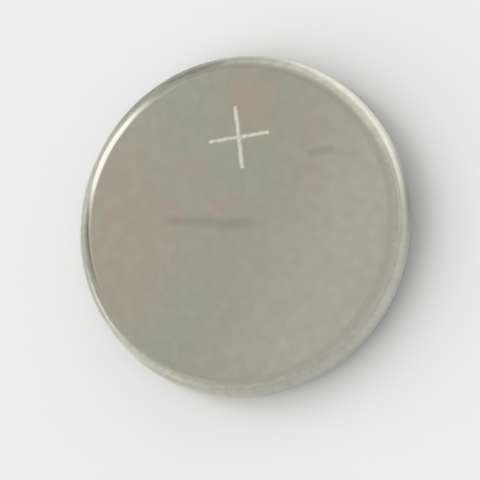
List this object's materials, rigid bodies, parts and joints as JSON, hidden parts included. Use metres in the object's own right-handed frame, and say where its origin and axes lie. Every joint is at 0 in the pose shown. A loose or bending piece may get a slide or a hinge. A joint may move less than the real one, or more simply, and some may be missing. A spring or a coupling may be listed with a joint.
{
  "type": "lithium coin cell",
  "caption": "Flat round metal coin cell with a plain positive face, rounded shoulder, crimped edge, plastic seal ring and a negative cap beneath",
  "frame": {"origin": "centre of the negative contact face, which is the face that the cell lies on", "axes": "+Z along the cell's axis from the negative to the positive face; +Y is up for the plus sign on the positive face"},
  "size_m": [0.016, 0.016, 0.002],
  "materials": {
    "can_steel": "satin nickel-plated stainless steel, faintly tarnished",
    "gasket_plastic": "natural translucent polypropylene, matt",
    "cap_steel": "satin stainless steel with fine turning marks",
    "lithium_metal": "soft rolled metal foil, dull silver",
    "separator_fabric": "white non-woven fabric",
    "cathode_mix": "matt black pressed powder",
    "ring_steel": "thin bright steel sheet"
  },
  "bodies": {
    "root": {"positive_can": "can_steel", "gasket": "gasket_plastic", "negative_cap": "cap_steel", "lithium_disc": "lithium_metal", "separator": "separator_fabric", "cathode_pellet": "cathode_mix", "collector_ring": "ring_steel"}
  },
  "joints": []
}
